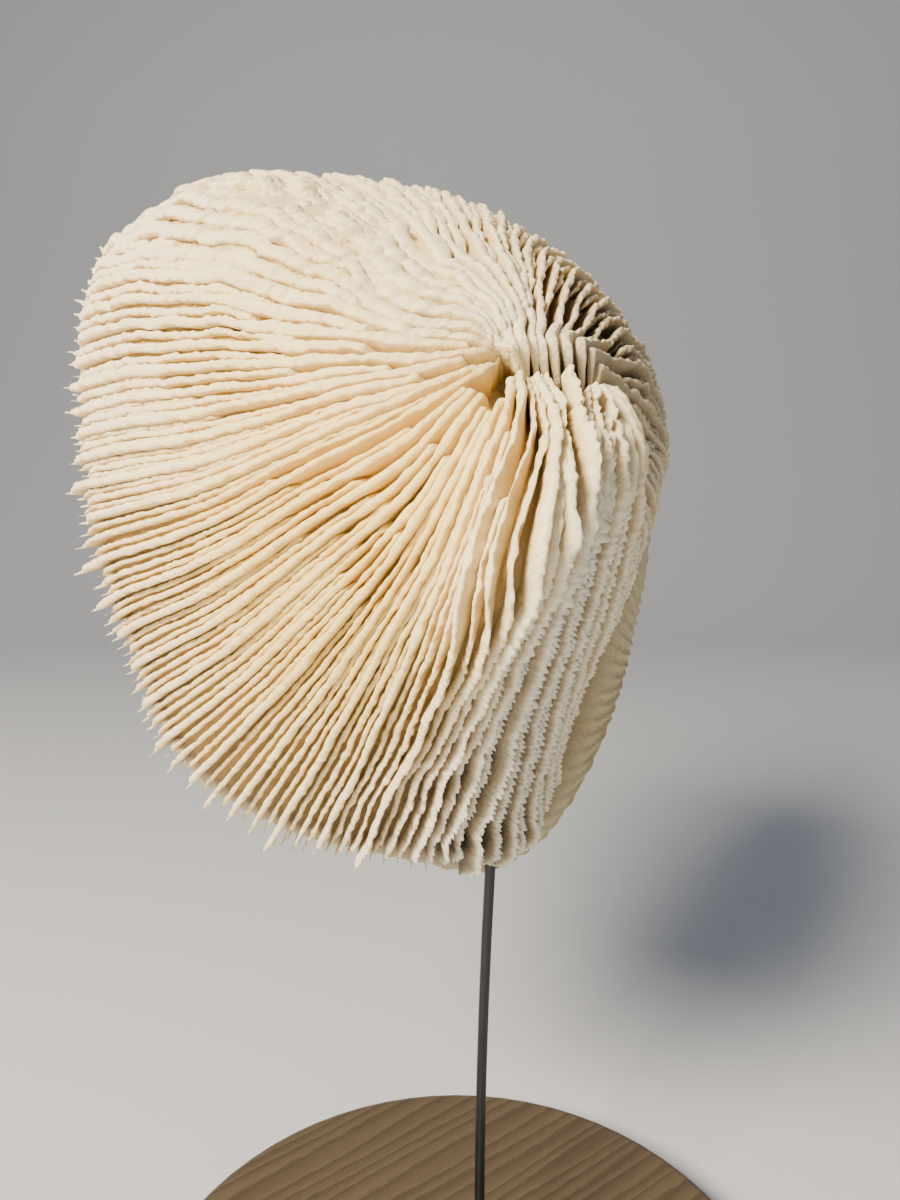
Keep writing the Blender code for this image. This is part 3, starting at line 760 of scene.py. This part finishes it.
def wall_points(wall, rise, wide):
    """Nine points round each row: foot, flank and shoulder up one side, edge, crest, and down.

    The foot is sunk in the floor, and past the rim it rises to the point.  The flank is plain
    and the crest flat with rounded corners; on the swelling and low on the right one shoulder
    hangs lower than the other.  Each shoulder and edge is ragged by chance over 2.6 and 1.2 mm.
    """
    bulge, sawn, drooping = wall.bulge, wall.sawn, wall.drooping
    part = np.clip(wall.beyond / np.maximum(wall.reach, 1.0), 0.0, 1.0) ** 1.7
    sink = -FOOT_SINK * (1.0 - step_up(wall.beyond, 0.0, 2.0))
    sink = sink + POINT_LIFT * rise * part * wall.free
    skew = np.clip(bulge + 0.6 * sawn + 0.4 * round_patch(wall.theta, (6.4, 1.6)), 0.0, 1.0)
    half = 0.5 * wide
    wall.top = np.maximum(wall.tall, sink + 0.3)
    base = np.maximum(sink, 0.0)
    follow = np.clip(0.3 + 0.7 * (bulge + drooping), 0.0, 1.0)
    shoulder = wall.even + follow * (wall.tall - wall.even) - 0.5 * wall.bite - 0.4 * half - 0.08
    shoulder = np.minimum(shoulder, wall.top - 0.3 * half - 0.06)
    shoulder = np.maximum(shoulder, base + 0.55 * (wall.top - base))
    flank = base + 0.5 * (shoulder - base)
    edge = wall.top - 0.2 * (wall.top - shoulder)
    drop = wide * (0.9 * bulge + 0.6 * sawn + 0.2 * skew)
    low_shoulder = np.maximum(shoulder - drop, base + 0.4 * (wall.top - base))
    low_edge = np.minimum(wall.even - 0.45 * drop - 0.3 * wall.bite, wall.top - 0.06)
    low_edge = np.maximum(edge + skew * (low_edge - edge), low_shoulder + 0.04)
    low_flank = base + 0.5 * (low_shoulder - base)
    levels = np.stack([sink, flank, shoulder, edge, wall.top, low_edge, low_shoulder, low_flank,
                       sink], axis=-1)
    one = np.ones_like(skew)
    out = np.clip(0.85 - 0.25 * bulge - 0.25 * drooping, 0.5, 1.0)
    spans = np.stack([out, out - 0.3 * skew, one, 0.7 + 0.4 * skew, 0.9 * skew,
                      -0.7 + 0.7 * skew, -one, -out - 0.2 * sawn, -out - 0.3 * sawn], axis=-1)
    spans = half[..., None] * spans
    shift = wall.waver[..., None] * np.array([0.0, 0.5, 1.0, 1.0, 1.0, 1.0, 1.0, 0.5, 0.0])
    travel = wall.travel
    rag = (wall.crumble + 0.35 * skew) * (0.7 * rough(travel, 2.6) + 0.6 * rough(travel, 1.2))
    low_rag = wall.crumble * (0.7 * rough(travel, 2.6) + 0.6 * rough(travel, 1.2))
    ragged = rag[..., None] * np.array([0.0, 0.0, 1.0, 0.8, 0.0, 0.0, 0.0, 0.0, 0.0])
    ragged = ragged + low_rag[..., None] * np.array([0, 0, 0, 0, 0, 0.8, 1.0, 0, 0])
    lean = 0.35 * drooping - 0.1 * round_patch(wall.theta, (11.8, 1.6)) * (
        1.0 - step_up(wall.ring, 2.4, 3.4))
    lean = lean + 0.18 * sawn
    bow = lean[..., None] * np.maximum(levels, 0.0)
    points = wall.foot[:, :, None] + wall.up[:, :, None] * levels[..., None]
    return points + wall.side[:, :, None] * (spans + shift + ragged + bow)[..., None]


def wall_faces(count, steps, around):
    """Quads between neighbouring points of neighbouring rows, and one cap at each end.

    Each is listed so that it faces out of the wall.
    """
    corner = np.arange(around)
    block = np.arange(count)[:, None, None] * steps * around
    row = block + np.arange(steps - 1)[None, :, None] * around
    here, beside = row + corner, row + (corner + 1) % around
    faces = np.stack([here, beside, beside + around, here + around], axis=-1)
    first = block[:, 0] + corner
    last = first + (steps - 1) * around
    return faces.reshape(-1, 4).tolist() + first[:, ::-1].tolist() + last.tolist()


def whiteness(wall, frosted):
    """How white each of the nine points is: 0 at the foot to about 1 along a frosted crest.

    A low crest is less frosted, and the dark towards the foot is partly the skeleton's tan and
    partly painted shade between the plates.  The lobe and the points past the rim are nearly white
    all over, and the fan behind the mouth has flanks darkened with painted shade.  On the swelling
    and low on the right, each flank darkens more steeply from its crest to its foot; this is painted
    shade, as cast by the plate beside it.
    """
    # The low end of this scale is partly painted shade between the plates.
    usual = np.array([0.0, 0.45, 0.7, 0.88, 0.9, 1.0, 0.84, 0.45, 0.0])
    pale = frosted + (1.0 - frosted) * np.maximum(wall.bulge, wall.drooping)
    shade = pale[..., None] * (
        1.0 - (1.0 - usual) * np.clip(wall.top / 7.0, 0.25, 1.0)[..., None])
    shade = np.maximum(shade, (0.8 * wall.past)[..., None])
    shade = np.maximum(shade, (0.86 * wall.drooping)[..., None])
    # Painted shade on the flanks of the fan behind the mouth.
    flanks = np.array([0, 1, 0.6, 0, 0, 0, 0.6, 1, 0])
    shade = shade * (1.0 - 0.5 * wall.shaded[..., None] * flanks)
    # Painted shade: on the swelling and low on the right, each flank darkens to its foot as in the
    # shadow of the plate beside it.
    swelling_shade = round_patch(wall.theta, (10.2, 2.9)) * step_up(wall.ring, 0.2, 1.2)
    swelling = np.array([0.0, 0.1, 0.45, 0.88, 1.0, 0.8, 0.38, 0.05, 0.0])
    return shade + swelling_shade[..., None] * (swelling - shade)


def plates(name, theta, room, scarce, rise, thick, frosted, reach, step):
    """One order of plates as closed thin walls, nine points round, one row for each step.

    room is the spacing in millimetres at which such a plate starts, and scarce how far it
    heeds lateness; where there is never room there is none.  rise is its height, thick its
    share of the usual width, frosted how white its crest is and reach how far its point
    passes the rim.
    """
    wall = lay_out(theta, room, scarce, reach, step)
    raise_crests(wall, rise)
    points = wall_points(wall, rise, wall_widths(wall, thick))
    around = points.shape[2]
    store(name, points.reshape(-1, 3), wall_faces(*points.shape[:3]), {
        "height": whiteness(wall, frosted).ravel(),
        "warmth": np.repeat(golden(wall.theta, wall.ring).ravel(), around),
        "under": np.zeros(points[..., 0].size),
        # Painted shade on the side behind the mouth.
        "painted_shade": np.repeat(shadow_side(wall.theta).ravel(), around),
    })


# The main plates stand in four orders, each halving the distance left by the ones before, and
# fine plates stand between them; a few of the fourth order and most of the fine ones find no
# room.  These two are in two pieces each, on either side of the plates of the order before.
spots = spread_columns(2 * PLATES)
plates("plates_first", spots[0::16], room=0.0, scarce=0.0, rise=9.5, thick=1.25, frosted=1.0,
       reach=13.5, step=0.54)
plates("plates_second", spots[8::16], room=0.5, scarce=0.0, rise=9.3, thick=1.2, frosted=1.0,
       reach=13.0, step=0.54)
plates("plates_third", spots[4::8], room=1.0, scarce=0.7, rise=9.0, thick=1.15, frosted=1.0,
       reach=11.0, step=0.54)
plates("plates_fourth_left", spots[2::8], room=1.6, scarce=1.0, rise=8.1, thick=0.85,
       frosted=0.9, reach=10.0, step=0.62)
plates("plates_fourth_right", spots[6::8], room=1.6, scarce=1.0, rise=8.1, thick=0.85,
       frosted=0.9, reach=10.0, step=0.62)
plates("plates_fine_left", spots[1::4], room=2.2, scarce=2.6, rise=7.4, thick=0.7,
       frosted=0.78, reach=9.0, step=0.68)
plates("plates_fine_right", spots[3::4], room=2.2, scarce=2.6, rise=7.4, thick=0.7,
       frosted=0.78, reach=9.0, step=0.68)


# Table and wall: one sheet of pale matt card, laid flat under the stand and curved up behind
# it, so that no line crosses the picture.

CARD_DEPTH = 2.4
CARD_BEND = 1.2
CARD_FRONT = -5.0
CARD_TOP = 5.0
CARD_SIDE = 6.0
matt_card = bpy.data.materials.new("matt_card")
matt_card.use_nodes = True
tree = matt_card.node_tree
surface = tree.nodes["Principled BSDF"]
surface.inputs["Base Color"].default_value = linear("#D2D5DA")
surface.inputs["Roughness"].default_value = 0.9
bend = np.linspace(0.0, math.pi / 2.0, 48)
card_y = np.concatenate([[CARD_FRONT], CARD_DEPTH - CARD_BEND * (1.0 - np.sin(bend)), [CARD_DEPTH]])
card_z = np.concatenate([[0.0], CARD_BEND * (1.0 - np.cos(bend)), [CARD_TOP]])
card_points = np.concatenate([
    np.stack([np.full(card_y.size, x), card_y, card_z], axis=-1) for x in (-CARD_SIDE, CARD_SIDE)])
strip = np.arange(card_y.size - 1)
card_faces = np.stack([strip, strip + card_y.size, strip + card_y.size + 1, strip + 1], axis=-1)
card_mesh = bpy.data.meshes.new("card")
card_mesh.from_pydata(card_points.tolist(), [], card_faces.tolist())
card_mesh.polygons.foreach_set("use_smooth", np.ones(len(card_mesh.polygons), dtype=bool))
card_mesh.materials.append(matt_card)
card = bpy.data.objects.new("card", card_mesh)
bpy.context.scene.collection.objects.link(card)


# Light: one soft warm lamp high on the left as from a window, a weak broad one from the front
# on the right, and a dim cool room round them.

def lamp(name, place, aim, size, watts, code):
    """Square area light at place, turned to look at aim."""
    data = bpy.data.lights.new(name, "AREA")
    data.shape = "SQUARE"
    data.size = size
    data.energy = watts
    data.color = linear(code)[:3]
    obj = bpy.data.objects.new(name, data)
    obj.visible_camera = False
    obj.location = place
    way = np.array(aim) - np.array(place)
    flat = math.hypot(way[0], way[1])
    obj.rotation_euler = (math.atan2(flat, -way[2]), 0.0, math.atan2(-way[0], way[1]))
    bpy.context.scene.collection.objects.link(obj)


lamp("window", place=(-0.66, -0.88, 1.00), aim=(0.0, 0.0, 0.27), size=0.42, watts=58.0,
     code="#FFF1DB")
lamp("front_fill", place=(0.5, -1.0, 0.3), aim=(0.0, 0.0, 0.25), size=1.0, watts=1.5,
     code="#F3F1EC")
room = bpy.data.worlds.new("room")
room.use_nodes = True
room.node_tree.nodes["Background"].inputs["Color"].default_value = linear("#C3CBD8")
room.node_tree.nodes["Background"].inputs["Strength"].default_value = 0.37
bpy.context.scene.world = room


# Camera: the photograph's place, about level with the middle of the coral, 26 cm in front of
# the middle of the base and tipped down 8 degrees, with a wide lens.

TIPPED_DOWN = math.radians(8.0)
lens = bpy.data.cameras.new("camera")
lens.lens = 28.5
lens.sensor_width = 36.0
lens.clip_start = 0.01
eye = bpy.data.objects.new("camera", lens)
eye.location = (-0.0026, -0.259, 0.273)
eye.rotation_euler = (math.radians(90.0) - TIPPED_DOWN, 0.0, 0.0)
bpy.context.scene.collection.objects.link(eye)
bpy.context.scene.camera = eye
